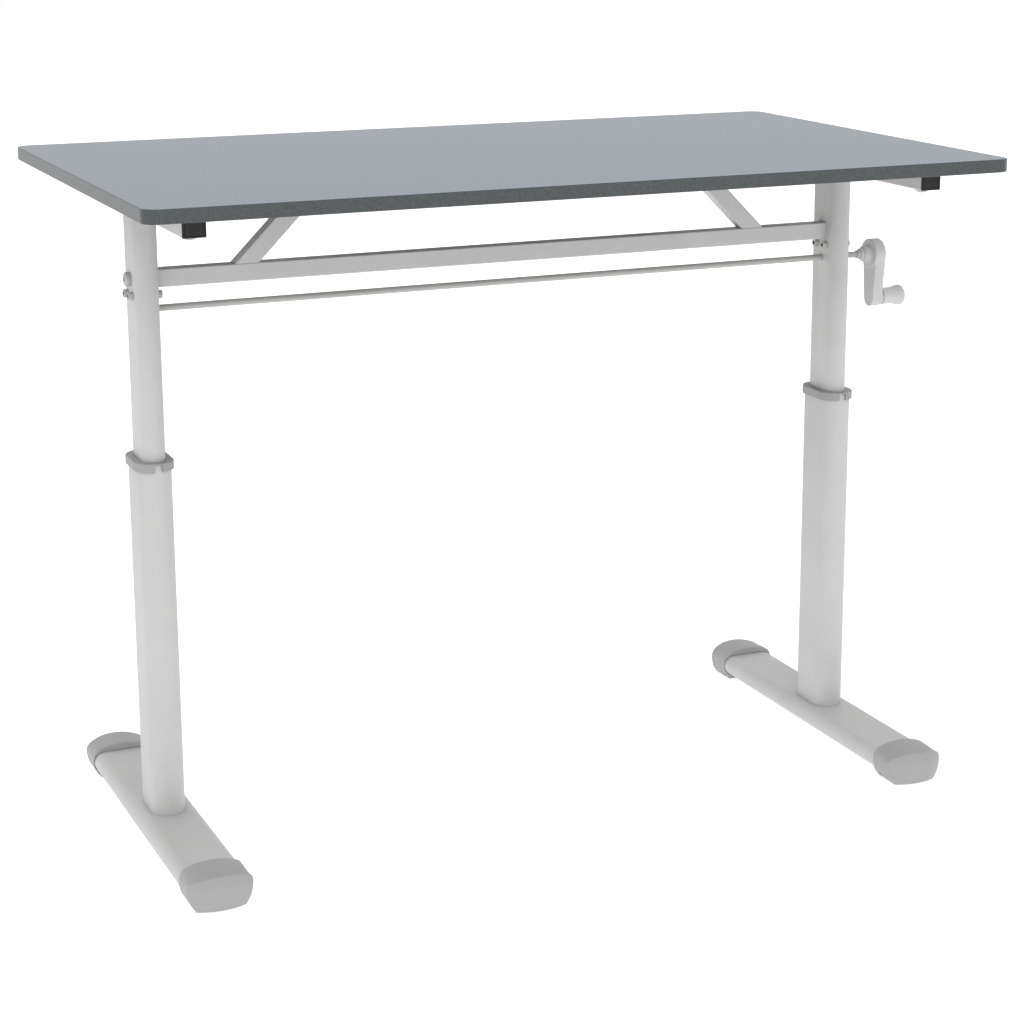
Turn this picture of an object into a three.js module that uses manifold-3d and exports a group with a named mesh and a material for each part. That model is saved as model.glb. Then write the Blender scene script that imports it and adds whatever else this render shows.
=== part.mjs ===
// Hand-cranked height adjustable desk. Millimetres, +Z up, the floor is z = 0.
// X runs along the desk, the user sits on the -Y side and the crank is on the +X side.
import * as THREE from "three";
import { mergeVertices } from "three/addons/utils/BufferGeometryUtils.js";
import Module from "manifold-3d";

const wasm = await Module();
wasm.setup();

// ---- driving dimensions ----
const DESK_HEIGHT = 909;
const TOP_LENGTH = 1200;
const TOP_DEPTH = 712;
const TOP_THICK = 18;
const TOP_CORNER_R = 20;
const TOP_EDGE_R = 1.2;

const COLUMN_X = 520;
const COLUMN_Y = -19;
const GAP = 0.3;

// lower (outer) column, a flat-sided oval tube
const OUTER_HX = 23.4;
const OUTER_HY = 43;
const OUTER_WALL = 2;
const OUTER_TOP_Z = 529.9;

// upper (inner) column
const INNER_HX = 16.2;
const INNER_HY = 35.5;
const INNER_WALL = 1.5;
const INNER_BOTTOM_Z = 238;

// support arms under the top
const ARM_SIZE = 30;
const ARM_CORNER_R = 2.5;
const ARM_WALL = 1.5;
const ARM_HALF_LENGTH = 261;
const ARM_CAP_FLANGE = 2;
const ARM_CAP_PLUG = 12;
const ARM_CAP_CORNER_R = 1.2;
const ARM_SCREW_INSET = 18;

// foot tube and its end shoes
const FOOT_HX = 42;
const FOOT_HZ = 15;
const FOOT_WALL = 2;
const FOOT_CENTRE_Z = 23.5;
const FOOT_HALF_LENGTH = 251;
const SHOE_RIM = 229;
const SHOE_CREASE = 50.2;
const SHOE_POCKET = 24;

// crossbar and braces
const BAR_HEIGHT = 24;
const BAR_DEPTH = 22;
const BAR_WALL = 1.5;
const BAR_BOTTOM_Z = 759.8;
const BAR_END_WALL = 14;
const BRACE_FOOT_X = 380.7;
const BRACE_WIDTH = 34.3;

// collar on the lower column
const COLLAR_HX = 27;
const COLLAR_HY = 46.5;
const COLLAR_TOP_Z = 532.5;
const COLLAR_BOTTOM_Z = 520.5;
const COLLAR_SLEEVE_Z = 502;
const COLLAR_NOTCH_W = 10.8;
const COLLAR_NOTCH_TOP_Z = 530.6;

// drive shaft, bevel gears and gearbox
const SHAFT_Z = 731;
const SHAFT_R = 4.4;
const SHAFT_LEFT_X = -533.9;
const SHAFT_RIGHT_X = 599.5;
const GEAR_TEETH = 16;
const GEAR_PITCH_R = 10;
const GEAR_TIP_R = 10.9;
const GEAR_ROOT_R = 8.8;
const GEAR_SMALL = 0.6;
const GEAR_TOOTH_SHARE = 0.86;
const PRESSURE_TAN = 0.364;
const BOX_HX = 14.4;
const BOX_HY = 33.7;
const BOX_BELOW = 24;
const BOX_ABOVE = 28;
const BOX_SCREW_Z = 751.4;
const BOX_SCREW_Y = 12;

// lifting screw, its nut and the post that holds the nut
const SPINDLE_R = 7;
const SPINDLE_SEAT_R = 5;
const SPINDLE_BOTTOM_Z = 236;
const POST_R = 11;
const POST_BORE_R = 8.5;
const POST_TOP_Z = 444;
const NUT_R = 12.4;
const NUT_TOP_Z = 466;
const NUT_SKIRT_Z = 432;

// crank
const CRANK_RADIUS = 66.4;
const HUB_LEFT_X = 585;
const HUB_RIGHT_X = 604.5;
const HUB_R = 22;
const ARM_PLATE_LEFT_X = 587.4;
const ARM_PLATE_RIGHT_X = 604.3;
const GRIP_BASE_X = 608.4;
const GRIP_END_X = 645;

const FOOT_TOP_Z = FOOT_CENTRE_Z + FOOT_HZ;
const TOP_UNDER_Z = DESK_HEIGHT - TOP_THICK;
const ARM_BOTTOM_Z = TOP_UNDER_Z - ARM_SIZE;
const BAR_TOP_Z = BAR_BOTTOM_Z + BAR_HEIGHT;
const BAR_MID_Z = BAR_BOTTOM_Z + BAR_HEIGHT / 2;
const CENTRE_X = (GRIP_END_X - TOP_LENGTH / 2) / 2;

// ---- materials ----
const paint = (color, roughness, metalness) => new THREE.MeshStandardMaterial({ color, roughness, metalness });
const laminate = paint("#a3abb1", 0.55, 0);
const framePaint = paint("#cbcccb", 0.5, 0.1);
const greyPlastic = paint("#a6a8a7", 0.6, 0);
const blackPlastic = paint("#383838", 0.55, 0);
const zincSteel = paint("#b4b4b0", 0.35, 0.9);
const crankPaint = paint("#c8c9c8", 0.5, 0.05);
const gearSteel = paint("#8f9192", 0.4, 0.9);
const bronze = paint("#b08d57", 0.4, 0.9);
const whiteNylon = paint("#e4e4de", 0.6, 0);
const castAlloy = paint("#9a9c9e", 0.5, 0.8);

// ---- outlines ----
// Oval outline with flats facing +-X and round ends facing +-Y.
function oval(target, hx, hy, segments = 14) {
  const straight = hy - hx;
  const points = [];
  for (let i = 0; i <= segments; i += 1) {
    const a = (Math.PI * i) / segments;
    points.push(new THREE.Vector2(hx * Math.cos(a), straight + hx * Math.sin(a)));
  }
  for (let i = 0; i <= segments; i += 1) {
    const a = Math.PI + (Math.PI * i) / segments;
    points.push(new THREE.Vector2(hx * Math.cos(a), -straight + hx * Math.sin(a)));
  }
  target.setFromPoints(points);
  return target;
}

function roundedRect(target, hx, hy, r, segments = 3) {
  const points = [];
  const corners = [
    [hx - r, hy - r, 0],
    [-hx + r, hy - r, 1],
    [-hx + r, -hy + r, 2],
    [hx - r, -hy + r, 3],
  ];
  for (const [cx, cy, quarter] of corners) {
    for (let i = 0; i <= segments; i += 1) {
      const a = (Math.PI / 2) * (quarter + i / segments);
      points.push(new THREE.Vector2(cx + r * Math.cos(a), cy + r * Math.sin(a)));
    }
  }
  target.setFromPoints(points);
  return target;
}

function extrude(shape, depth) {
  return new THREE.ExtrudeGeometry(shape, { depth, bevelEnabled: false, curveSegments: 12 });
}

// Tube section of constant wall, standing on z = 0.
function ovalTube(hx, hy, wall, length) {
  const shape = oval(new THREE.Shape(), hx, hy);
  shape.holes.push(oval(new THREE.Path(), hx - wall, hy - wall));
  return extrude(shape, length);
}

function boxBetween(x0, x1, y0, y1, z0, z1) {
  const g = new THREE.BoxGeometry(x1 - x0, y1 - y0, z1 - z0);
  return g.translate((x0 + x1) / 2, (y0 + y1) / 2, (z0 + z1) / 2);
}

// Rod along +Z from z0 to z1.
function rodZ(r, z0, z1, x = 0, y = 0, sides = 24) {
  const g = new THREE.CylinderGeometry(r, r, z1 - z0, sides);
  g.rotateX(Math.PI / 2);
  return g.translate(x, y, (z0 + z1) / 2);
}

// Rod along +X from x0 to x1.
function rodX(r, x0, x1, y = 0, z = 0, sides = 24) {
  const g = new THREE.CylinderGeometry(r, r, x1 - x0, sides);
  g.rotateZ(-Math.PI / 2);
  return g.translate((x0 + x1) / 2, y, z);
}

// Body of revolution about Z from [radius, z] pairs that start and end on the axis.
function turned(pairs, sides = 28) {
  const points = pairs.map(([r, z]) => new THREE.Vector2(r, z));
  const g = new THREE.LatheGeometry(points, sides);
  return g.rotateX(Math.PI / 2);
}

// The same with its axis laid along +X: z in the pairs becomes x.
function turnedX(pairs, sides = 28) {
  return turned(pairs, sides).rotateY(Math.PI / 2);
}

// ---- booleans ----
function solid(geometry) {
  const bare = geometry.clone();
  bare.deleteAttribute("normal");
  bare.deleteAttribute("uv");
  const merged = mergeVertices(bare, 1e-4);
  return new wasm.Manifold(
    new wasm.Mesh({
      numProp: 3,
      vertProperties: new Float32Array(merged.attributes.position.array),
      triVerts: new Uint32Array(merged.index.array),
    }),
  );
}

function geometryOf(manifold) {
  const mesh = manifold.getMesh();
  const g = new THREE.BufferGeometry();
  g.setAttribute("position", new THREE.BufferAttribute(new Float32Array(mesh.vertProperties), 3));
  g.setIndex(new THREE.BufferAttribute(new Uint32Array(mesh.triVerts), 1));
  const flat = g.toNonIndexed();
  flat.computeVertexNormals();
  return flat;
}

function cut(body, ...tools) {
  let result = solid(body);
  for (const tool of tools) {
    result = result.subtract(solid(tool));
  }
  return geometryOf(result);
}

// ---- the desk ----
const desk = new THREE.Group();
desk.name = "desk";
desk.position.x = -CENTRE_X;

function place(parent, name, geometry, material) {
  const mesh = new THREE.Mesh(geometry, material);
  mesh.name = name;
  parent.add(mesh);
  return mesh;
}

// Moulded shoe at the end of a foot. Half sections in [half width, height] from the sole up.
const SHOE_RIM_SECTION = { sole: 32.5, widest: [43.4, 26.6], shoulder: [34.9, 42.8], crown: 49.3 };
const SHOE_NOSE_SECTION = { sole: 33.1, widest: [43.5, 30.8], shoulder: [25.4, 43.9], crown: 46.7 };
// The nose is rounded in plan: it falls back by this much 30 mm from its middle.
const SHOE_PLAN_BULGE = 6.7;
const SHOE_FACE_BULGE = 3.5;
// [distance past the crease, scale of the nose section], closing the nose
const SHOE_NOSE_STEPS = [[3.2, 0.985], [5.8, 0.71], [7.1, 0.44]];

// Smooth curve through points, with the given number of steps between two of them.
function through(points, steps) {
  const curve = [];
  const last = points.length - 1;
  for (let k = 0; k < last; k += 1) {
    const [b, c] = [points[k], points[k + 1]];
    const a = points[k - 1] ?? b.map((v, i) => 2 * v - c[i]);
    const d = points[k + 2] ?? c.map((v, i) => 2 * v - b[i]);
    for (let j = 0; j < steps; j += 1) {
      const t = j / steps;
      curve.push(b.map((v, i) => 0.5 * (2 * v + (c[i] - a[i]) * t
        + (2 * a[i] - 5 * v + 4 * c[i] - d[i]) * t * t + (3 * v - a[i] - 3 * c[i] + d[i]) * t * t * t)));
    }
  }
  curve.push(points[last]);
  return curve;
}

function shoeSection({ sole, widest: [w, h], shoulder: [u, v], crown }) {
  const side = through([
    [sole, 0],
    [sole + (w - sole) * 0.72, h * 0.42],
    [w, h],
    [w - (w - u) * 0.28, h + (v - h) * 0.62],
    [u, v],
    [u / 2, crown - (crown - v) * 0.22],
    [0, crown],
  ], 3);
  return [[0, 0], [sole / 2, 0], ...side];
}

const shoeRim = shoeSection(SHOE_RIM_SECTION);
const shoeNose = shoeSection(SHOE_NOSE_SECTION);

// A ring round the shoe: blend runs from the rim's section to the nose's, then scale closes the nose.
function shoeRing(blend, s, scale) {
  const pivot = SHOE_NOSE_SECTION.crown * 0.45;
  const half = shoeRim.map(([w, h], i) => {
    const x = (w + (shoeNose[i][0] - w) * blend) * scale;
    let z = h + (shoeNose[i][1] - h) * blend;
    z = z < pivot ? z + (pivot - z) * (1 - scale) * 0.25 * (z > 0.01 ? 1 : 0) : pivot + (z - pivot) * scale;
    const face = Math.sin(Math.PI * Math.min(z / SHOE_NOSE_SECTION.crown, 1));
    const y = s + blend * (SHOE_FACE_BULGE * face - SHOE_PLAN_BULGE * (x / 30) ** 2);
    return new THREE.Vector3(x, y, z);
  });
  const ring = [...half];
  for (let i = half.length - 2; i > 0; i -= 1) {
    ring.push(new THREE.Vector3(-half[i].x, half[i].y, half[i].z));
  }
  return ring;
}

function shoeGeometry() {
  const rings = [];
  for (const t of [0, 0.2, 0.4, 0.55, 0.7, 0.85, 1]) {
    rings.push(shoeRing(t * t, t * SHOE_CREASE, 1));
  }
  for (const [past, scale] of SHOE_NOSE_STEPS) {
    rings.push(shoeRing(1, SHOE_CREASE + past, scale));
  }
  const count = rings[0].length;
  const positions = [];
  const push = (...vs) => vs.forEach((v) => positions.push(v.x, v.y, v.z));
  for (let k = 0; k < rings.length - 1; k += 1) {
    for (let i = 0; i < count; i += 1) {
      const j = (i + 1) % count;
      push(rings[k][i], rings[k + 1][i], rings[k + 1][j]);
      push(rings[k][i], rings[k + 1][j], rings[k][j]);
    }
  }
  for (const [ring, forward] of [[rings[0], false], [rings[rings.length - 1], true]]) {
    const centre = new THREE.Vector3(0, ring[0].y + (forward ? SHOE_FACE_BULGE : 0), 20);
    for (let i = 0; i < count; i += 1) {
      const j = (i + 1) % count;
      if (forward) {
        push(centre, ring[j], ring[i]);
      } else {
        push(centre, ring[i], ring[j]);
      }
    }
  }
  const loft = new THREE.BufferGeometry();
  loft.setAttribute("position", new THREE.Float32BufferAttribute(positions, 3));
  let body = solid(loft);
  if (body.volume() < 0) {
    throw new Error("shoe faces point inwards");
  }
  const pocket = extrude(footSection(new THREE.Shape(), GAP), SHOE_POCKET + 1);
  pocket.rotateX(-Math.PI / 2).rotateY(Math.PI);
  pocket.translate(0, -1, FOOT_CENTRE_Z);
  body = body.subtract(solid(pocket));
  body = body.subtract(solid(boxBetween(-60, 60, 8, 14.5, -1, 3.4)));
  return geometryOf(body);
}

// Foot tube section lying flat: wide along X, rounded at both sides.
function footSection(target, grow = 0) {
  const upright = new THREE.Shape();
  oval(upright, FOOT_HZ + grow, FOOT_HX + grow, 12);
  const points = upright.getPoints(1).map((p) => new THREE.Vector2(-p.y, p.x));
  target.setFromPoints(points);
  return target;
}

function footTubeGeometry() {
  const shape = footSection(new THREE.Shape());
  shape.holes.push(footSection(new THREE.Path(), -FOOT_WALL));
  const g = extrude(shape, 2 * FOOT_HALF_LENGTH);
  g.rotateX(-Math.PI / 2).rotateY(Math.PI);
  return g.translate(0, -FOOT_HALF_LENGTH, FOOT_CENTRE_Z);
}

function collarGeometry() {
  const skirt = extrude(oval(new THREE.Shape(), COLLAR_HX, COLLAR_HY), COLLAR_TOP_Z - COLLAR_BOTTOM_Z);
  skirt.translate(0, 0, COLLAR_BOTTOM_Z);
  const recess = extrude(
    oval(new THREE.Shape(), OUTER_HX + GAP, OUTER_HY + GAP),
    OUTER_TOP_Z + GAP - COLLAR_BOTTOM_Z + 1,
  );
  recess.translate(0, 0, COLLAR_BOTTOM_Z - 1);
  const innerX = OUTER_HX - OUTER_WALL - GAP;
  const innerY = OUTER_HY - OUTER_WALL - GAP;
  const sleeve = extrude(oval(new THREE.Shape(), innerX, innerY), COLLAR_TOP_Z - 1 - COLLAR_SLEEVE_Z);
  sleeve.translate(0, 0, COLLAR_SLEEVE_Z);
  const throat = extrude(oval(new THREE.Shape(), INNER_HX + GAP, INNER_HY + GAP), 60);
  throat.translate(0, 0, COLLAR_SLEEVE_Z - 10);
  const notch = boxBetween(
    -COLLAR_NOTCH_W / 2,
    COLLAR_NOTCH_W / 2,
    -COLLAR_HY - 2,
    -OUTER_HY + 1,
    COLLAR_BOTTOM_Z - 1,
    COLLAR_NOTCH_TOP_Z,
  );
  const body = solid(skirt).subtract(solid(recess)).add(solid(sleeve)).subtract(solid(throat));
  return geometryOf(body.subtract(solid(notch)));
}

function postGeometry() {
  const z = FOOT_TOP_Z;
  const body = turned([[0, z], [19, z], [19, z + 4], [POST_R, z + 4], [POST_R, POST_TOP_Z], [0, POST_TOP_Z]]);
  return cut(body, rodZ(POST_BORE_R, z - 1, POST_TOP_Z + 1, 0, 0, 28));
}

function nutGeometry() {
  const body = turned([
    [0, NUT_SKIRT_Z],
    [NUT_R - 0.4, NUT_SKIRT_Z],
    [NUT_R, NUT_SKIRT_Z + 0.8],
    [NUT_R, NUT_TOP_Z - 0.8],
    [NUT_R - 0.8, NUT_TOP_Z],
    [0, NUT_TOP_Z],
  ]);
  const skirtBore = rodZ(POST_R + GAP, NUT_SKIRT_Z - 1, POST_TOP_Z + GAP, 0, 0, 28);
  const throughBore = rodZ(SPINDLE_R + 0.12, NUT_SKIRT_Z, NUT_TOP_Z + 1, 0, 0, 28);
  return cut(body, skirtBore, throughBore);
}

function guideGeometry() {
  const outerX = OUTER_HX - OUTER_WALL - GAP;
  const outerY = OUTER_HY - OUTER_WALL - GAP;
  const z = INNER_BOTTOM_Z;
  const block = extrude(oval(new THREE.Shape(), outerX, outerY), 46).translate(0, 0, z - 3);
  const socket = extrude(oval(new THREE.Shape(), INNER_HX + GAP, INNER_HY + GAP), 60);
  socket.translate(0, 0, z - GAP);
  return cut(block, socket, rodZ(13.4, z - 10, z + 5, 0, 0, 28));
}

function innerColumnGeometry(side) {
  const tube = ovalTube(INNER_HX, INNER_HY, INNER_WALL, ARM_BOTTOM_Z - INNER_BOTTOM_Z);
  tube.translate(0, 0, INNER_BOTTOM_Z);
  const tools = [
    rodX(6, -30, 30, 0, SHAFT_Z),
    rodX(4.3, -30, 30, 0, BAR_MID_Z, 20),
    rodX(3.3, -30, 30, BOX_SCREW_Y, BOX_SCREW_Z, 16),
    rodX(3.3, -30, 30, -BOX_SCREW_Y, BOX_SCREW_Z, 16),
  ];
  if (side < 0) {
    tools[0] = rodX(6, 0, 30, 0, SHAFT_Z);
  }
  return cut(tube, ...tools);
}

// One half of the gearbox casting; half is +1 behind the shaft and -1 in front of it.
function gearboxGeometry(half) {
  const block = extrude(oval(new THREE.Shape(), BOX_HX, BOX_HY), BOX_ABOVE + BOX_BELOW);
  block.translate(0, 0, SHAFT_Z - BOX_BELOW);
  const away = boxBetween(-30, 30, half > 0 ? -60 : -0.15, half > 0 ? 0.15 : 60, 600, 800);
  return cut(
    block,
    away,
    boxBetween(-13.2, 13.2, -13.2, 13.2, SHAFT_Z - 16.4, SHAFT_Z + 13),
    rodX(SHAFT_R + 0.3, -30, 30, 0, SHAFT_Z, 28),
    rodZ(SPINDLE_R + 0.3, SHAFT_Z - 40, SHAFT_Z - 10, 0, 0, 28),
    rodX(3.3, -30, 30, half * BOX_SCREW_Y, BOX_SCREW_Z, 16),
  );
}

// Bevel gear about +Z with its cone's apex at the origin and its teeth below it.
function bevelGeometry(bore, hubDrop, phase) {
  const pitch = (2 * Math.PI) / GEAR_TEETH;
  const halfPitch = (GEAR_PITCH_R * pitch * GEAR_TOOTH_SHARE) / 4;
  const halfTip = halfPitch - (GEAR_TIP_R - GEAR_PITCH_R) * PRESSURE_TAN;
  const halfRoot = halfPitch + (GEAR_PITCH_R - GEAR_ROOT_R) * PRESSURE_TAN;
  const points = [];
  for (let i = 0; i < GEAR_TEETH; i += 1) {
    const a = phase + i * pitch;
    for (const [r, across] of [
      [GEAR_ROOT_R, -halfRoot],
      [GEAR_TIP_R, -halfTip],
      [GEAR_TIP_R, halfTip],
      [GEAR_ROOT_R, halfRoot],
    ]) {
      const b = a + across / r;
      points.push(new THREE.Vector2(r * Math.cos(b), r * Math.sin(b)));
    }
  }
  const depth = GEAR_PITCH_R * (1 - GEAR_SMALL);
  const teeth = extrude(new THREE.Shape(points), depth).translate(0, 0, -GEAR_PITCH_R);
  const position = teeth.attributes.position;
  for (let i = 0; i < position.count; i += 1) {
    const scale = -position.getZ(i) / GEAR_PITCH_R;
    position.setX(i, position.getX(i) * scale);
    position.setY(i, position.getY(i) * scale);
  }
  const hub = rodZ(7.6, -GEAR_PITCH_R - hubDrop, -GEAR_PITCH_R + 0.5, 0, 0, 28);
  return geometryOf(solid(teeth).add(solid(hub)).subtract(solid(rodZ(bore, -30, 5, 0, 0, 28))));
}

function spindleGeometry() {
  const boxFloor = SHAFT_Z - BOX_BELOW;
  const seat = SHAFT_Z - GEAR_PITCH_R - 5.6;
  return turned([
    [0, SPINDLE_BOTTOM_Z],
    [SPINDLE_R - 1.2, SPINDLE_BOTTOM_Z],
    [SPINDLE_R, SPINDLE_BOTTOM_Z + 1.2],
    [SPINDLE_R, boxFloor - 4],
    [SPINDLE_R + 3, boxFloor - 4],
    [SPINDLE_R + 3, boxFloor - GAP],
    [SPINDLE_R, boxFloor - GAP],
    [SPINDLE_R, seat],
    [SPINDLE_SEAT_R, seat],
    [SPINDLE_SEAT_R, SHAFT_Z - 6.4],
    [0, SHAFT_Z - 6.4],
  ]);
}

// Socket screw along +X with the underside of its head at x = 0 and the head on the -X side.
function socketScrewGeometry() {
  const body = turnedX([
    [0, -6.4],
    [4.9, -6.4],
    [5.6, -5.7],
    [5.6, 0],
    [3, 0],
    [3, 9.5],
    [0, 10],
  ], 20);
  return cut(body, rodX(2.9, -8, -3.2, 0, 0, 6));
}

// Button-head bolt along +X that fixes the crossbar.
function barBoltGeometry() {
  const length = 2 * INNER_HX + 10;
  const body = turnedX([
    [0, -9.4],
    [8.2, -9.4],
    [9.3, -8.5],
    [9.6, -7.4],
    [9.6, 0],
    [4, 0],
    [4, length - 1],
    [3.2, length],
    [0, length],
  ], 24);
  return cut(body, rodX(3.6, -11, -4.6, 0, 0, 6));
}

// Pan-head screw along +Z with the underside of its head at z = 0 and the head below it.
function armScrewGeometry() {
  const body = turned([
    [0, -5.6],
    [4, -5.2],
    [7, -3.9],
    [8.9, -1.8],
    [9.4, 0],
    [2.9, 0],
    [2.9, ARM_SIZE + 10.5],
    [0, ARM_SIZE + 12],
  ], 24);
  const slotA = boxBetween(-3.2, 3.2, -0.9, 0.9, -8, -3.2);
  const slotB = boxBetween(-0.9, 0.9, -3.2, 3.2, -8, -3.2);
  return cut(body, slotA, slotB);
}

function armGeometry() {
  const length = 2 * (ARM_HALF_LENGTH - ARM_CAP_FLANGE);
  const shape = roundedRect(new THREE.Shape(), ARM_SIZE / 2, ARM_SIZE / 2, ARM_CORNER_R);
  const inner = ARM_SIZE / 2 - ARM_WALL;
  shape.holes.push(roundedRect(new THREE.Path(), inner, inner, ARM_CORNER_R - ARM_WALL));
  const tube = extrude(shape, length);
  tube.rotateX(Math.PI / 2);
  tube.translate(0, length / 2, ARM_BOTTOM_Z + ARM_SIZE / 2);
  const screwY = ARM_HALF_LENGTH - ARM_SCREW_INSET;
  return cut(
    tube,
    rodZ(3.2, ARM_BOTTOM_Z - 5, TOP_UNDER_Z + 5, 0, screwY, 16),
    rodZ(3.2, ARM_BOTTOM_Z - 5, TOP_UNDER_Z + 5, 0, -screwY, 16),
  );
}

// Cap for an arm's end: a flange over the tube's end and a plug inside it, pointing along -Y.
function armCapGeometry() {
  const half = ARM_SIZE / 2;
  const flange = extrude(roundedRect(new THREE.Shape(), half, half, ARM_CAP_CORNER_R), ARM_CAP_FLANGE);
  flange.rotateX(Math.PI / 2);
  const plugHalf = half - ARM_WALL - GAP;
  const plug = extrude(roundedRect(new THREE.Shape(), plugHalf, plugHalf, 1), ARM_CAP_PLUG + 0.5);
  plug.rotateX(Math.PI / 2).translate(0, ARM_CAP_PLUG, 0);
  const hollow = boxBetween(-plugHalf + 2, plugHalf - 2, 1, ARM_CAP_PLUG + 1, -plugHalf + 2, plugHalf - 2);
  return geometryOf(solid(flange).add(solid(plug)).subtract(solid(hollow)));
}

function tabletopGeometry() {
  const shape = roundedRect(
    new THREE.Shape(),
    TOP_LENGTH / 2 - TOP_EDGE_R,
    TOP_DEPTH / 2 - TOP_EDGE_R,
    TOP_CORNER_R - TOP_EDGE_R,
    8,
  );
  const board = new THREE.ExtrudeGeometry(shape, {
    depth: TOP_THICK - 2 * TOP_EDGE_R,
    bevelEnabled: true,
    bevelThickness: TOP_EDGE_R,
    bevelSize: TOP_EDGE_R,
    bevelSegments: 2,
  });
  board.translate(0, 0, TOP_UNDER_Z + TOP_EDGE_R);
  const holes = [];
  for (const side of [-1, 1]) {
    for (const end of [-1, 1]) {
      const y = COLUMN_Y + end * (ARM_HALF_LENGTH - ARM_SCREW_INSET);
      holes.push(rodZ(3.2, TOP_UNDER_Z - 5, TOP_UNDER_Z + 12.6, side * COLUMN_X, y, 16));
    }
  }
  return cut(board, ...holes);
}

function crossbarGeometry() {
  const x = COLUMN_X - INNER_HX;
  const y0 = COLUMN_Y - BAR_DEPTH / 2;
  const y1 = COLUMN_Y + BAR_DEPTH / 2;
  const w = BAR_WALL;
  const section = roundedRect(new THREE.Shape(), BAR_HEIGHT / 2, BAR_DEPTH / 2, 1.5, 2);
  const tube = extrude(section, 2 * x);
  tube.rotateY(Math.PI / 2).translate(-x, COLUMN_Y, BAR_MID_Z);
  const inside = boxBetween(-x + BAR_END_WALL, x - BAR_END_WALL, y0 + w, y1 - w, BAR_BOTTOM_Z + w, BAR_TOP_Z - w);
  return cut(
    tube,
    inside,
    rodX(4.3, -x - 5, -x + BAR_END_WALL + 5, COLUMN_Y, BAR_MID_Z, 20),
    rodX(4.3, x - BAR_END_WALL - 5, x + 5, COLUMN_Y, BAR_MID_Z, 20),
  );
}

// Brace from the crossbar up and inwards to the underside of the top, cut level at both ends.
function braceGeometry(side) {
  const rise = TOP_UNDER_Z - BAR_TOP_Z;
  const leaning = (half, drop, depth) => {
    const shape = new THREE.Shape([
      new THREE.Vector2(BRACE_FOOT_X - half + drop, -drop),
      new THREE.Vector2(BRACE_FOOT_X + half + drop, -drop),
      new THREE.Vector2(BRACE_FOOT_X + half - rise - drop, rise + drop),
      new THREE.Vector2(BRACE_FOOT_X - half - rise - drop, rise + drop),
    ]);
    const g = extrude(shape, depth);
    g.rotateX(Math.PI / 2);
    return g.translate(0, COLUMN_Y + depth / 2, BAR_TOP_Z);
  };
  const outer = leaning(BRACE_WIDTH / 2, 0, BAR_DEPTH);
  const inner = leaning(BRACE_WIDTH / 2 - BAR_WALL * Math.SQRT2, 5, BAR_DEPTH - 2 * BAR_WALL);
  const g = cut(outer, inner);
  if (side < 0) {
    g.rotateZ(Math.PI);
    g.translate(0, 2 * COLUMN_Y, 0);
  }
  return g;
}

function crankArmGeometry() {
  const hub = turnedX([
    [0, 565.5],
    [5.6, 565.5],
    [5.6, 568.6],
    [8.4, 569],
    [8.8, 573.2],
    [11.6, 574.2],
    [12.6, 583],
    [15, HUB_LEFT_X],
    [HUB_R - 1.2, HUB_LEFT_X],
    [HUB_R, HUB_LEFT_X + 1.2],
    [HUB_R, HUB_RIGHT_X - 4],
    [HUB_R - 1.2, HUB_RIGHT_X - 1.4],
    [HUB_R - 4, HUB_RIGHT_X],
    [0, HUB_RIGHT_X],
  ], 32);
  hub.translate(0, 0, SHAFT_Z);
  // tapered plate hanging from the hub
  const endR = 13.4;
  const rootHalf = 17.5;
  const outline = [new THREE.Vector2(-rootHalf, 0)];
  for (let i = 0; i <= 12; i += 1) {
    const a = Math.PI + (Math.PI * i) / 12;
    outline.push(new THREE.Vector2(endR * Math.cos(a), -CRANK_RADIUS + endR * Math.sin(a)));
  }
  outline.push(new THREE.Vector2(rootHalf, 0));
  const plate = extrude(new THREE.Shape(outline), ARM_PLATE_RIGHT_X - ARM_PLATE_LEFT_X);
  // the outline's x lies along Y, its y along Z and its depth along X
  plate.rotateX(Math.PI / 2).rotateZ(Math.PI / 2).translate(ARM_PLATE_LEFT_X, 0, SHAFT_Z);
  const boss = turnedX([[0, 600], [11.9, 600], [11.9, GRIP_BASE_X - 0.5], [0, GRIP_BASE_X - 0.5]], 28);
  boss.translate(0, 0, SHAFT_Z - CRANK_RADIUS);
  const body = solid(hub).add(solid(plate)).add(solid(boss));
  const shaftBore = rodX(SHAFT_R + 0.25, 560, SHAFT_RIGHT_X + GAP, 0, SHAFT_Z, 28);
  const pinBore = rodX(4.25, 597, 620, 0, SHAFT_Z - CRANK_RADIUS, 24);
  return geometryOf(body.subtract(solid(shaftBore)).subtract(solid(pinBore)));
}

function gripGeometry() {
  const body = turnedX([
    [0, GRIP_BASE_X],
    [12, GRIP_BASE_X],
    [12.6, GRIP_BASE_X + 0.8],
    [12.4, 616],
    [12.5, 624],
    [13.1, 629],
    [14.4, 633.5],
    [15.4, 637.5],
    [15.4, 640],
    [14.3, 642.8],
    [11.8, 644.5],
    [8, GRIP_END_X],
    [0, GRIP_END_X],
  ], 32);
  return cut(body, rodX(4.08, GRIP_BASE_X - 2, 640.5, 0, 0, 32)).translate(0, 0, SHAFT_Z - CRANK_RADIUS);
}

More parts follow.
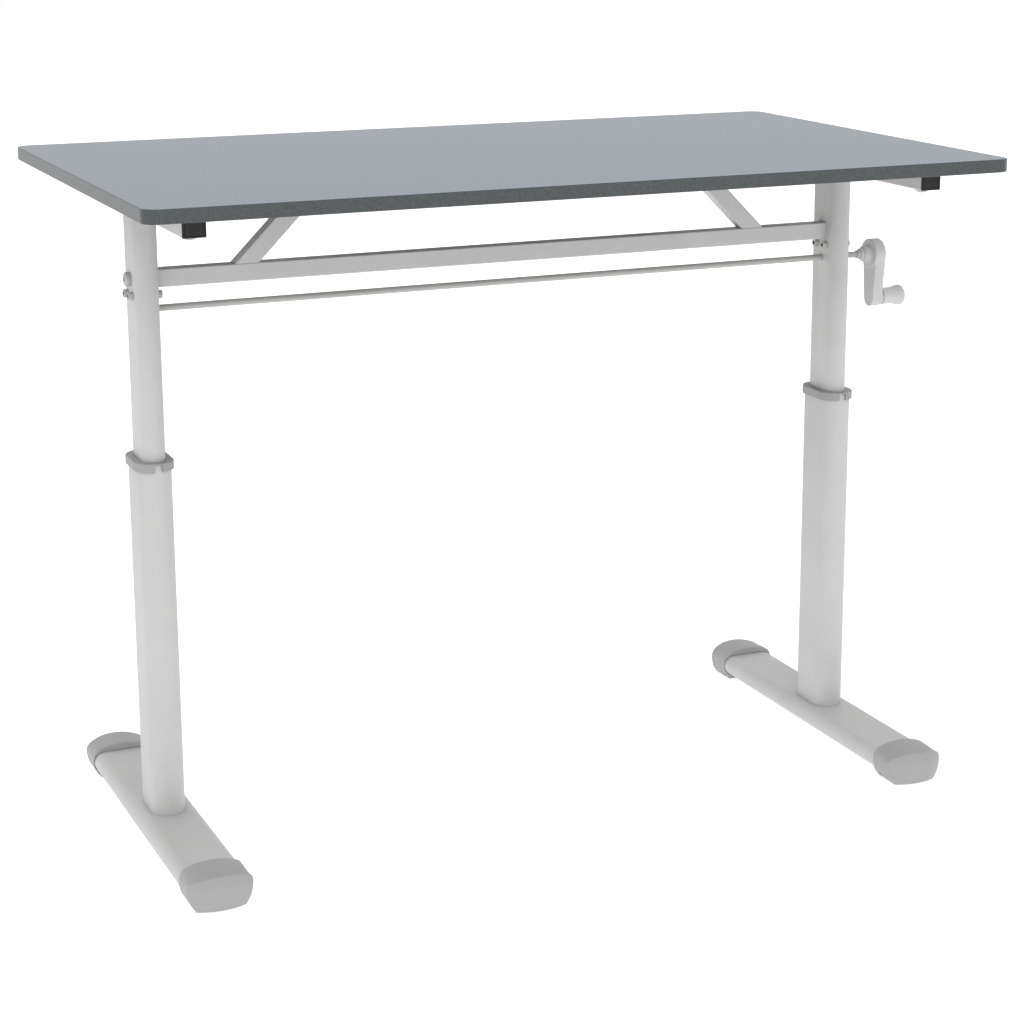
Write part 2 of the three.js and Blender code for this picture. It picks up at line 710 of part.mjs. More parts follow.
// ---- assembly ----
const shoe = shoeGeometry();
const footTube = footTubeGeometry();
const outerTube = ovalTube(OUTER_HX, OUTER_HY, OUTER_WALL, OUTER_TOP_Z - FOOT_TOP_Z);
outerTube.translate(0, 0, FOOT_TOP_Z);
const collar = collarGeometry();
const post = postGeometry();
const nut = nutGeometry();
const guide = guideGeometry();
const spindle = spindleGeometry();
const socketScrew = socketScrewGeometry();
const barBolt = barBoltGeometry();
const arm = armGeometry();
const armCap = armCapGeometry();
const armScrew = armScrewGeometry();
const spindleBevel = bevelGeometry(SPINDLE_SEAT_R + 0.15, 5, Math.PI / GEAR_TEETH);
const shaftBevel = bevelGeometry(SHAFT_R + 0.15, 2.8, 0);

place(desk, "tabletop", tabletopGeometry(), laminate);
place(desk, "crossbar", crossbarGeometry(), framePaint);
place(desk, "drive_shaft", rodX(SHAFT_R, SHAFT_LEFT_X, SHAFT_RIGHT_X, COLUMN_Y, SHAFT_Z, 28), zincSteel);

for (const [end, side] of [["left", -1], ["right", 1]]) {
  const leg = new THREE.Group();
  leg.position.set(side * COLUMN_X, COLUMN_Y, 0);
  desk.add(leg);

  place(leg, `foot_tube_${end}`, footTube.clone(), framePaint);
  const rearShoe = place(leg, `shoe_rear_${end}`, shoe.clone(), greyPlastic);
  rearShoe.position.y = SHOE_RIM;
  const frontShoe = place(leg, `shoe_front_${end}`, shoe.clone(), greyPlastic);
  frontShoe.position.y = -SHOE_RIM;
  frontShoe.rotation.z = Math.PI;
  place(leg, `outer_column_${end}`, outerTube.clone(), framePaint);
  place(leg, `collar_${end}`, collar.clone(), greyPlastic);
  place(leg, `screw_post_${end}`, post.clone(), zincSteel);
  place(leg, `lift_nut_${end}`, nut.clone(), bronze);

  place(leg, `inner_column_${end}`, innerColumnGeometry(side), framePaint);
  place(leg, `guide_block_${end}`, guide.clone(), whiteNylon);
  place(leg, `top_arm_${end}`, arm.clone(), framePaint);
  place(leg, `gearbox_front_${end}`, gearboxGeometry(-1), castAlloy);
  place(leg, `gearbox_rear_${end}`, gearboxGeometry(1), castAlloy);

  for (const [where, way] of [["front", -1], ["rear", 1]]) {
    const cap = place(leg, `arm_cap_${where}_${end}`, armCap.clone(), blackPlastic);
    cap.position.set(0, way * (ARM_HALF_LENGTH - ARM_CAP_FLANGE), ARM_BOTTOM_Z + ARM_SIZE / 2);
    cap.rotation.z = way > 0 ? Math.PI : 0;
    const screw = place(leg, `arm_screw_${where}_${end}`, armScrew.clone(), zincSteel);
    screw.position.set(0, way * (ARM_HALF_LENGTH - ARM_SCREW_INSET), ARM_BOTTOM_Z);
    for (const [face, dir] of [["outer", side], ["inner", -side]]) {
      const bolt = place(leg, `box_screw_${face}_${where}_${end}`, socketScrew.clone(), zincSteel);
      bolt.position.set(dir * INNER_HX, way * BOX_SCREW_Y, BOX_SCREW_Z);
      bolt.rotation.z = dir > 0 ? Math.PI : 0;
    }
  }

  const fixing = place(leg, `bar_bolt_${end}`, barBolt.clone(), zincSteel);
  fixing.position.set(side * INNER_HX, 0, BAR_MID_Z);
  fixing.rotation.z = side > 0 ? Math.PI : 0;

  place(leg, `lift_screw_${end}`, spindle.clone(), zincSteel);
  const lower = place(leg, `screw_bevel_${end}`, spindleBevel.clone(), gearSteel);
  lower.position.z = SHAFT_Z;
  const upper = place(leg, `shaft_bevel_${end}`, shaftBevel.clone(), gearSteel);
  upper.position.z = SHAFT_Z;
  upper.rotation.y = Math.PI / 2;

  place(desk, `brace_${end}`, braceGeometry(side), framePaint);
}

const crank = new THREE.Group();
crank.position.y = COLUMN_Y;
desk.add(crank);
place(crank, "crank_arm", crankArmGeometry(), crankPaint);
place(crank, "grip_pin", rodX(4, 597.3, 640, 0, SHAFT_Z - CRANK_RADIUS, 32), zincSteel);
place(crank, "crank_grip", gripGeometry(), crankPaint);

export default desk;
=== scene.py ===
"""Looks of the hand-cranked height adjustable desk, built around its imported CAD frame. Metres, +Z up."""

import math

import bmesh
import bpy
from mathutils import Matrix, Vector


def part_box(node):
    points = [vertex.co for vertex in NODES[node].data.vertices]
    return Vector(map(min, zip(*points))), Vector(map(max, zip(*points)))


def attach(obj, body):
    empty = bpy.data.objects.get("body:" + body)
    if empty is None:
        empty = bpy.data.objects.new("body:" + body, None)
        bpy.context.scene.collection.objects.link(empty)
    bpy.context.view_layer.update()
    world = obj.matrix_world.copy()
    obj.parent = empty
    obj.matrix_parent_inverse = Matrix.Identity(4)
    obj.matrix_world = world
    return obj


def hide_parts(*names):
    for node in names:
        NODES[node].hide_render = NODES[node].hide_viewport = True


MM = 0.001
ENDS = ("left", "right")
WHERE = ("front", "rear")

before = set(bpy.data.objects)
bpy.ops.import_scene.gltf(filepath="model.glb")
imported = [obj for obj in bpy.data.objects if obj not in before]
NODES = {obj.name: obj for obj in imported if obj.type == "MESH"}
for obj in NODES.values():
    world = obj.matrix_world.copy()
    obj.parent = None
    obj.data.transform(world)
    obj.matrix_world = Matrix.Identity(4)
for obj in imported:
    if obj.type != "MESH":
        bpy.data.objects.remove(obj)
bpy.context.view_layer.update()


def low(node):
    return Vector(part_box(node)[0])


def high(node):
    return Vector(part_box(node)[1])


def centre(node):
    return (low(node) + high(node)) / 2


# ---------------------------------------------------------------- camera
# fitted to the photo; lens and sensor are in mm
CAMERA_AT = Vector((-1.29827, -3.00577, 1.29258))
CAMERA_YAW = math.radians(-24.41)
CAMERA_PITCH = math.radians(-13.51)
CAMERA_LENS = 82.77
CAMERA_SHIFT = (-0.0476, -0.0770)
SENSOR_WIDTH = 36.0
CLIP_END = 100.0


def make_camera():
    forward = Vector((
        -math.sin(CAMERA_YAW) * math.cos(CAMERA_PITCH),
        math.cos(CAMERA_YAW) * math.cos(CAMERA_PITCH),
        math.sin(CAMERA_PITCH),
    ))
    right = Vector((math.cos(CAMERA_YAW), math.sin(CAMERA_YAW), 0.0))
    up = right.cross(forward)
    data = bpy.data.cameras.new("camera")
    data.sensor_width = SENSOR_WIDTH
    data.lens = CAMERA_LENS
    data.shift_x, data.shift_y = CAMERA_SHIFT
    data.clip_end = CLIP_END
    camera = bpy.data.objects.new("camera", data)
    bpy.context.scene.collection.objects.link(camera)
    turn = Matrix((right, up, -forward)).transposed().to_4x4()
    camera.matrix_world = Matrix.Translation(CAMERA_AT) @ turn
    bpy.context.scene.camera = camera


# ---------------------------------------------------------------- materials
WHITE = (1.0, 1.0, 1.0)
# nearly all values of a noise texture lie between these two
NOISE_LOW = 0.3
NOISE_HIGH = 0.7


def nodes_of(name):
    material = bpy.data.materials.new(name)
    material.use_nodes = True
    tree = material.node_tree
    shader = tree.nodes["Principled BSDF"]
    coords = tree.nodes.new("ShaderNodeTexCoord")
    return material, tree, shader, coords


def noise(tree, coords, scale, detail=2.0, rough=0.5, stretch=None):
    source = coords.outputs["Object"]
    if stretch:
        mapping = tree.nodes.new("ShaderNodeMapping")
        mapping.inputs["Scale"].default_value = stretch
        tree.links.new(source, mapping.inputs["Vector"])
        source = mapping.outputs["Vector"]
    texture = tree.nodes.new("ShaderNodeTexNoise")
    texture.inputs["Scale"].default_value = scale
    texture.inputs["Detail"].default_value = detail
    texture.inputs["Roughness"].default_value = rough
    tree.links.new(source, texture.inputs["Vector"])
    return texture.outputs["Fac"]


def ramp(tree, value, stops):
    node = tree.nodes.new("ShaderNodeValToRGB")
    band = node.color_ramp
    while len(band.elements) < len(stops):
        band.elements.new(0.5)
    for element, (at, colour) in zip(band.elements, stops):
        element.position = at
        element.color = (*colour, 1.0)
    tree.links.new(value, node.inputs["Fac"])
    return node.outputs["Color"]


def vary_roughness(tree, shader, value, roughness, by):
    """Spreads the shader's roughness round its middle value, following a noise."""
    node = tree.nodes.new("ShaderNodeMapRange")
    node.inputs["From Min"].default_value = NOISE_LOW
    node.inputs["From Max"].default_value = NOISE_HIGH
    node.inputs["To Min"].default_value = roughness - by
    node.inputs["To Max"].default_value = roughness + by
    tree.links.new(value, node.inputs["Value"])
    tree.links.new(node.outputs["Result"], shader.inputs["Roughness"])


def darkened(tree, colour, value, darkest):
    """The colour times a grey that runs from darkest to white, following a noise."""
    mix = tree.nodes.new("ShaderNodeMix")
    mix.data_type = "RGBA"
    mix.blend_type = "MULTIPLY"
    mix.inputs["Factor"].default_value = 1.0
    greys = ramp(tree, value, [(NOISE_LOW, shade(WHITE, darkest)), (NOISE_HIGH, WHITE)])
    tree.links.new(colour, mix.inputs["A"])
    tree.links.new(greys, mix.inputs["B"])
    return mix.outputs["Result"]


def bump(tree, shader, height, strength, distance):
    node = tree.nodes.new("ShaderNodeBump")
    node.inputs["Strength"].default_value = strength
    node.inputs["Distance"].default_value = distance
    tree.links.new(height, node.inputs["Height"])
    tree.links.new(node.outputs["Normal"], shader.inputs["Normal"])


def shade(colour, factor):
    return tuple(c * factor for c in colour)


def coated(name, colour, roughness, metallic=0.0, grain=900.0, grain_depth=0.00012, specular=0.5):
    """A finish with slight cloudiness of its colour and a fine surface grain."""
    material, tree, shader, coords = nodes_of(name)
    cloud = noise(tree, coords, 14.0, detail=3.0)
    mottle = noise(tree, coords, 420.0, rough=0.6)
    fine = noise(tree, coords, grain, rough=0.55)
    clouded = ramp(tree, cloud, [(NOISE_LOW, shade(colour, 0.97)), (NOISE_HIGH, shade(colour, 1.03))])
    tree.links.new(darkened(tree, clouded, mottle, 0.95), shader.inputs["Base Color"])
    vary_roughness(tree, shader, fine, roughness, 0.05)
    shader.inputs["Metallic"].default_value = metallic
    shader.inputs["Specular IOR Level"].default_value = specular
    bump(tree, shader, fine, 0.25, grain_depth)
    return material


def speckled(name, colour, fleck, roughness, specular):
    """Melamine laminate: a dark ground with very fine light and dark flecks under a satin surface."""
    material, tree, shader, coords = nodes_of(name)
    fine = noise(tree, coords, 560.0, rough=0.6)
    cloud = noise(tree, coords, 5.0, detail=3.0)
    flecked = ramp(
        tree, fine, [(0.34, shade(colour, 1 - fleck)), (0.5, colour), (0.66, shade(colour, 1 + fleck))]
    )
    tree.links.new(darkened(tree, flecked, cloud, 0.96), shader.inputs["Base Color"])
    vary_roughness(tree, shader, fine, roughness, 0.04)
    shader.inputs["Specular IOR Level"].default_value = specular
    bump(tree, shader, fine, 0.12, 0.00006)
    return material


def brushed(name, colour, roughness, stretch, metallic=0.9):
    """Metal with fine lines along one direction, drawn by a stretched noise."""
    material, tree, shader, coords = nodes_of(name)
    lines = noise(tree, coords, 60.0, detail=4.0, rough=0.6, stretch=stretch)
    tree.links.new(
        ramp(tree, lines, [(NOISE_LOW, shade(colour, 0.9)), (NOISE_HIGH, shade(colour, 1.08))]),
        shader.inputs["Base Color"],
    )
    vary_roughness(tree, shader, lines, roughness, 0.07)
    shader.inputs["Metallic"].default_value = metallic
    bump(tree, shader, lines, 0.12, 0.00008)
    return material


MATERIAL = {
    # the top face is the laminate's dark grey plus a painted blue reflection tint, which the edge band
    # doesn't get
    "laminate": speckled("laminate_face_painted_reflection_tint", (0.036, 0.077, 0.119), 0.34, 0.25, 0.32),
    "laminate_edge": speckled("laminate_edge", (0.058, 0.066, 0.069), 0.26, 0.36, 0.36),
    "backing_sheet": speckled("backing_sheet", (0.080, 0.080, 0.079), 0.16, 0.50, 0.4),
    "frame_paint": coated("frame_paint", (0.505, 0.505, 0.502), 0.5),
    "crank_paint": coated("crank_paint", (0.515, 0.518, 0.516), 0.48, grain=700.0),
    "grip_plastic": coated("grip_plastic", (0.53, 0.533, 0.531), 0.5, grain=1100.0),
    "grey_plastic": coated("grey_plastic", (0.345, 0.345, 0.345), 0.55, grain=1300.0, grain_depth=0.00018),
    "collar_plastic": coated("collar_plastic", (0.30, 0.30, 0.30), 0.55, grain=1300.0, grain_depth=0.00018),
    # black plastic of the end caps, also used as painted shade inside the key sockets of the box screws
    "black_plastic": coated("black_plastic", (0.012, 0.012, 0.012), 0.5, grain=1300.0, specular=0.35),
    "zinc_steel": brushed("zinc_steel", (0.43, 0.43, 0.415), 0.7, (0.15, 3.0, 3.0), metallic=0.2),
    "gear_steel": brushed("gear_steel", (0.30, 0.30, 0.31), 0.35, (1.0, 1.0, 4.0)),
    "bronze": brushed("bronze", (0.45, 0.28, 0.11), 0.35, (1.0, 1.0, 6.0)),
    "white_nylon": coated("white_nylon", (0.75, 0.75, 0.71), 0.5),
    "cast_alloy": coated(
        "cast_alloy", (0.36, 0.37, 0.38), 0.5, metallic=0.8, grain=450.0, grain_depth=0.0003
    ),
}


# ---------------------------------------------------------------- mesh helpers
SHARP_DEGREES = 32.0
MERGE_DISTANCE = 1e-7
EDGE = 0.4 * MM


def finish_mesh(mesh, sharp_degrees=SHARP_DEGREES):
    """Normals outwards, smooth faces, and hard edges where the surface turns sharply."""
    bm = bmesh.new()
    bm.from_mesh(mesh)
    bmesh.ops.remove_doubles(bm, verts=bm.verts, dist=MERGE_DISTANCE)
    bmesh.ops.recalc_face_normals(bm, faces=bm.faces)
    for face in bm.faces:
        face.smooth = True
    limit = math.radians(sharp_degrees)
    for edge in bm.edges:
        if len(edge.link_faces) == 2:
            edge.smooth = edge.calc_face_angle(0.0) < limit
    bm.to_mesh(mesh)
    bm.free()


def new_object(name, verts, faces, material, sharp_degrees=SHARP_DEGREES):
    mesh = bpy.data.meshes.new(name)
    mesh.from_pydata([tuple(v) for v in verts], [], faces)
    finish_mesh(mesh, sharp_degrees)
    obj = bpy.data.objects.new(name, mesh)
    bpy.context.scene.collection.objects.link(obj)
    obj.data.materials.append(MATERIAL[material])
    return obj


def set_materials(obj, *names):
    obj.data.materials.clear()
    for name in names:
        obj.data.materials.append(MATERIAL[name])


def in_metres(pairs, way=1):
    """(radius, distance) pairs in mm as metres, with the distances running the given way."""
    return [(r * MM, way * along * MM) for r, along in pairs]


def bake(obj):
    """Applies the object's modifiers to its mesh."""
    depsgraph = bpy.context.evaluated_depsgraph_get()
    mesh = bpy.data.meshes.new_from_object(obj.evaluated_get(depsgraph))
    obj.modifiers.clear()
    old = obj.data
    obj.data = mesh
    bpy.data.meshes.remove(old)
    return obj


def loft(rings, closed=False):
    """Vertices and faces through rings of equal length; capped at both ends unless closed on itself."""
    count = len(rings[0])
    verts = [v for ring in rings for v in ring]
    faces = []
    last = len(rings) if closed else len(rings) - 1
    for k in range(last):
        a = k * count
        b = ((k + 1) % len(rings)) * count
        for i in range(count):
            j = (i + 1) % count
            faces.append((a + i, a + j, b + j, b + i))
    if not closed:
        faces.append(tuple(reversed(range(count))))
        faces.append(tuple(range((len(rings) - 1) * count, len(rings) * count)))
    return verts, faces


def oval(hx, hy, steps=32):
    """Points round an oval with flat sides facing +-X and round ends facing +-Y."""
    straight = hy - hx
    points = []
    for sign, start in ((1, 0.0), (-1, math.pi)):
        for i in range(steps + 1):
            a = start + math.pi * i / steps
            points.append((hx * math.cos(a), sign * straight + hx * math.sin(a)))
    return points


def rounded(hx, hy, r, steps=8):
    """Points round a rectangle with rounded corners."""
    points = []
    for quarter, (sx, sy) in enumerate(((1, 1), (-1, 1), (-1, -1), (1, -1))):
        for i in range(steps + 1):
            a = math.pi / 2 * (quarter + i / steps)
            points.append((sx * (hx - r) + r * math.cos(a), sy * (hy - r) + r * math.sin(a)))
    return points


def lay(points, at, axis, origin):
    """Section points placed at a distance along an axis."""
    ox, oy, oz = origin
    if axis == "Z":
        return [Vector((ox + u, oy + v, at)) for u, v in points]
    if axis == "Y":
        return [Vector((ox + u, at, oz + v)) for u, v in points]
    return [Vector((at, oy + u, oz + v)) for u, v in points]


def edge_steps(radius, steps):
    """(inset, distance from the end) pairs of a quarter-round edge, end face first."""
    pairs = []
    for i in range(steps + 1):
        a = math.pi / 2 * i / steps
        pairs.append((radius * (1 - math.sin(a)), radius * (1 - math.cos(a))))
    return pairs


def bar(name, section, start, end, axis, origin, material, edge=EDGE, steps=3):
    """Solid bar with quarter-round end edges; section(inset) gives its outline."""
    rings = []
    for inset, run in edge_steps(edge, steps):
        rings.append(lay(section(inset), start + run, axis, origin))
    for inset, run in reversed(edge_steps(edge, steps)):
        rings.append(lay(section(inset), end - run, axis, origin))
    verts, faces = loft(rings)
    return new_object(name, verts, faces, material)


def hollow(name, outer, bore, start, end, axis, origin, material, edge=EDGE):
    """Tube with rounded outer rims; outer(inset) gives its outside, bore the outline of its inside."""
    rings = []
    for inset, run in edge_steps(edge, 3):
        rings.append(lay(outer(inset), start + run, axis, origin))
    for inset, run in reversed(edge_steps(edge, 3)):
        rings.append(lay(outer(inset), end - run, axis, origin))
    rings.append(lay(bore, end, axis, origin))
    rings.append(lay(bore, start, axis, origin))
    verts, faces = loft(rings, closed=True)
    return new_object(name, verts, faces, material)


def lathe(name, profile, axis, origin, material, sides=48, sharp_degrees=SHARP_DEGREES):
    """Body of revolution from (radius, distance along the axis) pairs that start and end on the axis."""
    ox, oy, oz = origin
    verts, faces, rows = [], [], []

    def spot(r, along, a):
        c, s = r * math.cos(a), r * math.sin(a)
        if axis == "X":
            return Vector((ox + along, oy + c, oz + s))
        return Vector((ox + c, oy + s, oz + along))

    for r, along in profile:
        if r == 0:
            rows.append([len(verts)] * sides)
            verts.append(spot(0, along, 0))
        else:
            rows.append(list(range(len(verts), len(verts) + sides)))
            verts.extend(spot(r, along, 2 * math.pi * i / sides) for i in range(sides))
    for top, bottom in zip(rows, rows[1:]):
        for i in range(sides):
            j = (i + 1) % sides
            loop = []
            for v in (top[i], top[j], bottom[j], bottom[i]):
                if v not in loop:
                    loop.append(v)
            if len(loop) > 2:
                faces.append(tuple(loop))
    return new_object(name, verts, faces, material, sharp_degrees)


def catmull_rom(a, b, c, d, t):
    return 0.5 * (
        2 * b + (c - a) * t + (2 * a - 5 * b + 4 * c - d) * t * t + (3 * b - a - 3 * c + d) * t ** 3
    )


def smooth_curve(points, per):
    """Catmull-Rom points through (radius, distance) pairs, keeping both ends."""
    out = []
    n = len(points)
    for k in range(n - 1):
        p0 = points[max(k - 1, 0)]
        p1, p2 = points[k], points[k + 1]
        p3 = points[min(k + 2, n - 1)]
        for i in range(per):
            t = i / per
            out.append(tuple(catmull_rom(*values, t) for values in zip(p0, p1, p2, p3)))
    out.append(points[-1])
    return [(max(r, 0.0), z) for r, z in out]


def carve(obj, *tools, operation="DIFFERENCE"):
    """Boolean of the object with tool objects, which are then deleted."""
    for tool in tools:
        modifier = obj.modifiers.new("cut", "BOOLEAN")
        modifier.operation = operation
        modifier.solver = "EXACT"
        modifier.object = tool
    bake(obj)
    for tool in tools:
        bpy.data.objects.remove(tool)
    finish_mesh(obj.data)
    return obj


def prism(sides, radius, start, end, axis, origin, turn=0.0):
    """Cutting tool with a regular outline."""
    points = [
        (radius * math.cos(turn + 2 * math.pi * i / sides), radius * math.sin(turn + 2 * math.pi * i / sides))
        for i in range(sides)
    ]
    verts, faces = loft([lay(points, start, axis, origin), lay(points, end, axis, origin)])
    return new_object("tool", verts, faces, "zinc_steel")


def block(x0, x1, y0, y1, z0, z1):
    """Cutting tool with square corners."""
    square = [(x0, y0), (x1, y0), (x1, y1), (x0, y1)]
    verts, faces = loft([lay(square, z0, "Z", (0, 0, 0)), lay(square, z1, "Z", (0, 0, 0))])
    return new_object("tool", verts, faces, "zinc_steel")


def weighted(obj):
    modifier = obj.modifiers.new("normals", "WEIGHTED_NORMAL")
    modifier.keep_sharp = True
    modifier.weight = 60
    return obj


def place(obj, body, slot, *replaced):
    """Puts a piece on the body that carries it and hides the nodes of the frame it replaces; the slot
    argument is not used.
    """
    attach(obj, body)
    if replaced:
        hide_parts(*replaced)
    return obj


# ---------------------------------------------------------------- tabletop
TOP_CORNER = 20 * MM
TOP_EDGE = 1.2 * MM


def make_tabletop():
    lo, hi = low("tabletop"), high("tabletop")
    mid = (lo + hi) / 2
    hx, hy = (hi.x - lo.x) / 2, (hi.y - lo.y) / 2
    top = bar(
        "desk_top",
        lambda inset: rounded(hx - inset, hy - inset, TOP_CORNER - inset, 16),
        lo.z, hi.z, "Z", (mid.x, mid.y, 0), "laminate", edge=TOP_EDGE, steps=5,
    )
    set_materials(top, "laminate", "laminate_edge", "backing_sheet")
    # the top faces keep the laminate, whose blue tint is painted reflection; the band takes the faces that
    # stand up, the backing sheet those that look down
    for face in top.data.polygons:
        if abs(face.normal.z) < 0.8:
            face.material_index = 1
        elif face.normal.z < 0:
            face.material_index = 2
    place(weighted(top), "upper", "laminate", "tabletop")


# ---------------------------------------------------------------- columns, feet, collars
# half thickness in X and half width in Y of the oval tubes and of the collar
INNER = (16.2 * MM, 35.5 * MM)
OUTER = (23.4 * MM, 43.0 * MM)
COLLAR = (27.0 * MM, 46.5 * MM)
WALL = 2 * MM
INNER_WALL = 1.5 * MM
SHAFT_HOLE = 4.9 * MM


def grown_oval(size, grow):
    return oval(size[0] + grow, size[1] + grow)


def make_column(name, node, size, wall, spot):
    return hollow(name, lambda inset: grown_oval(size, -inset), grown_oval(size, -wall),
                  low(node).z, high(node).z, "Z", spot, "frame_paint")


def make_leg(end):
    outer_node = f"outer_column_{end}"
    inner_node = f"inner_column_{end}"
    mid = centre(outer_node)
    spot = (mid.x, mid.y, 0)
    lower = make_column(f"lower_column_{end}", outer_node, OUTER, WALL, spot)
    place(lower, "base", "frame_paint", outer_node)

    upper = make_column(f"upper_column_{end}", inner_node, INNER, INNER_WALL, spot)
    # the shaft crosses the whole right column, but ends inside the left one
    reach = 30 * MM
    hole_start = mid.x - reach if end == "right" else mid.x
    carve(upper, prism(32, SHAFT_HOLE, hole_start, mid.x + reach, "X", (0, mid.y, centre("drive_shaft").z)))
    place(upper, "upper", "frame_paint", inner_node)

    make_collar(end, spot)
    make_foot(end, spot)


COLLAR_SKIRT = 12 * MM
COLLAR_GAP = 0.35 * MM
NOTCH_HALF = 5.4 * MM
NOTCH_TOP = 1.9 * MM


def make_collar(end, spot):
    lo, hi = low(f"collar_{end}"), high(f"collar_{end}")
    skirt_z = hi.z - COLLAR_SKIRT
    rim_z = high(f"outer_column_{end}").z
    gap = COLLAR_GAP
    # (oval, growth, height) up the outside, over the top, down the bore, then up and over the column's rim
    profile = [
        (COLLAR, 0.0, skirt_z + 0.4 * MM),
        (COLLAR, 0.0, hi.z - 1.6 * MM),
        (COLLAR, -0.15 * MM, hi.z - 0.9 * MM),
        (COLLAR, -0.6 * MM, hi.z - 0.25 * MM),
        (COLLAR, -1.3 * MM, hi.z),
        (INNER, 1.2 * MM, hi.z),
        (INNER, 0.7 * MM, hi.z - 0.3 * MM),
        (INNER, gap, hi.z - 1.0 * MM),
        (INNER, gap, lo.z),
        (OUTER, -WALL - gap, lo.z),
        (OUTER, -WALL - gap, rim_z + gap),
        (OUTER, gap, rim_z + gap),
        (OUTER, gap, skirt_z),
        (COLLAR, -0.4 * MM, skirt_z),
    ]
    rings = [lay(grown_oval(size, grow), z, "Z", spot) for size, grow, z in profile]
    verts, faces = loft(rings, closed=True)
    collar = new_object(f"guide_collar_{end}", verts, faces, "collar_plastic")
    # the notch is open in front and below, and cuts 1 mm deeper than the column's face
    notch = block(spot[0] - NOTCH_HALF, spot[0] + NOTCH_HALF, spot[1] - 60 * MM, spot[1] - OUTER[1] + 1 * MM,
                  skirt_z - 5 * MM, hi.z - NOTCH_TOP)
    carve(collar, notch)
    place(weighted(collar), "base", "grey_plastic", f"collar_{end}")


FOOT_HALF = (42 * MM, 15 * MM)


def foot_outline(grow):
    """The foot tube's lying oval, as (across, up)."""
    return [(-v, u) for u, v in oval(FOOT_HALF[1] + grow, FOOT_HALF[0] + grow, 24)]


def make_foot(end, spot):
    lo, hi = low(f"foot_tube_{end}"), high(f"foot_tube_{end}")
    z = (lo.z + hi.z) / 2
    tube = bar(f"foot_{end}", lambda inset: foot_outline(-inset),
               lo.y, hi.y, "Y", (spot[0], 0, z), "frame_paint")
    place(weighted(tube), "base", "frame_paint", f"foot_tube_{end}")
    for where, way in (("front", -1), ("rear", 1)):
        make_shoe(f"foot_shoe_{where}_{end}", f"shoe_{where}_{end}", spot, way, z)


# half sections of the moulded shoe in mm: sole half width, widest point, shoulder, crown
RIM = (32.5, (43.4, 26.6), (34.9, 42.8), 49.3)
NOSE = (33.1, (43.5, 30.8), (25.4, 43.9), 46.7)
RIM_EDGE = 1.0
# (distance from the rim, inset) of the rim's rounded edge
RIM_STEPS = ((0.0, 0.9), (0.15, 0.5), (0.5, 0.15), (RIM_EDGE, 0.0))
# the nose face starts this far from the rim
CREASE_AT = 50.2
SIDE_STEPS = 14
# how far the nose falls back at PLAN_BULGE_AT from its middle, and how far it bows out at half its height
PLAN_BULGE = 6.7
PLAN_BULGE_AT = 30
FACE_BULGE = 3.5
# (size, distance past the crease) of the nose face as it closes
NOSE_STEPS = ((1.0, 0.0), (0.985, 3.2), (0.71, 5.8), (0.44, 7.1))
NOSE_END = (0.2, 7.3)
SHOE_POCKET = 24.0
# cross grooves under the sole: along the foot, then (left, right, height)
GROOVE_AT = (8.0, 14.5)
GROOVES = ((-60, -30, 7.4), (30, 60, 7.4), (-31, 31, 3.4))
SHOE_SHARP_DEGREES = 38.0


def shoe_section(section):
    """Closed outline of a section, from the middle of the sole round to the right."""
    sole, (wide, wide_z), (shoulder, shoulder_z), crown = section
    side = smooth_curve([
        (sole, 0.0),
        (sole + (wide - sole) * 0.72, wide_z * 0.42),
        (wide, wide_z),
        (wide - (wide - shoulder) * 0.28, wide_z + (shoulder_z - wide_z) * 0.62),
        (shoulder, shoulder_z),
        (shoulder / 2, crown - (crown - shoulder_z) * 0.22),
        (0.0, crown),
    ], 10)
    half = [(0.0, 0.0), (sole / 2, 0.0), (sole - 1.0, 0.0)] + side
    return half + [(-w, z) for w, z in reversed(half[1:-1])]


def shoe_ring(blend, s, scale=1.0, inset=0.0):
    """Points (across, along, up) in mm of a ring between the rim's section and the nose's."""
    widest = RIM[1][0]
    top = NOSE[3]
    middle = top * 0.45
    sole_scale = 1 - (1 - scale) * 0.25
    points = []
    for (w, z), (nose_w, nose_z) in zip(shoe_section(RIM), shoe_section(NOSE)):
        w = (w + (nose_w - w) * blend) * scale * (1 - inset / widest)
        z = z + (nose_z - z) * blend
        z = middle + (z - middle) * (scale if z > middle else sole_scale) * (1 - inset / middle)
        face = math.sin(math.pi * min(z / top, 1.0))
        bulge = FACE_BULGE * face - PLAN_BULGE * (w / PLAN_BULGE_AT) ** 2
        points.append((w, s + blend * bulge, max(z, 0.0)))
    return points


def make_shoe(name, node, spot, way, foot_z):
    rim_y = low(node).y if way > 0 else high(node).y

    def along(s):
        return rim_y + way * s * MM

    def ring(*shape, **more):
        return [Vector((spot[0] + w * MM, along(s), z * MM)) for w, s, z in shoe_ring(*shape, **more)]

    rings = [ring(0.0, s, inset=inset) for s, inset in RIM_STEPS]
    for i in range(1, SIDE_STEPS + 1):
        t = i / SIDE_STEPS
        rings.append(ring(t * t, RIM_EDGE + t * (CREASE_AT - RIM_EDGE)))
    for scale, past in smooth_curve(NOSE_STEPS, 4)[1:] + [NOSE_END]:
        rings.append(ring(1.0, CREASE_AT + past, scale))
    verts, faces = loft(rings)
    shoe = new_object(name, verts, faces, "grey_plastic")

    # the pocket for the foot tube widens a little at its mouth
    pocket = [
        lay(foot_outline(grow * MM), along(s), "Y", (spot[0], 0, foot_z))
        for s, grow in ((-2.0, 1.6), (0.0, 0.8), (0.8, 0.4), (SHOE_POCKET, 0.4))
    ]
    verts, faces = loft(pocket)
    socket = new_object("tool", verts, faces, "grey_plastic")
    near, far = sorted(along(s) for s in GROOVE_AT)
    slots = [block(spot[0] + a * MM, spot[0] + b * MM, near, far, -1 * MM, top * MM) for a, b, top in GROOVES]
    carve(shoe, socket, *slots)
    finish_mesh(shoe.data, SHOE_SHARP_DEGREES)
    set_materials(shoe, "grey_plastic")
    place(weighted(shoe), "base", "grey_plastic", node)


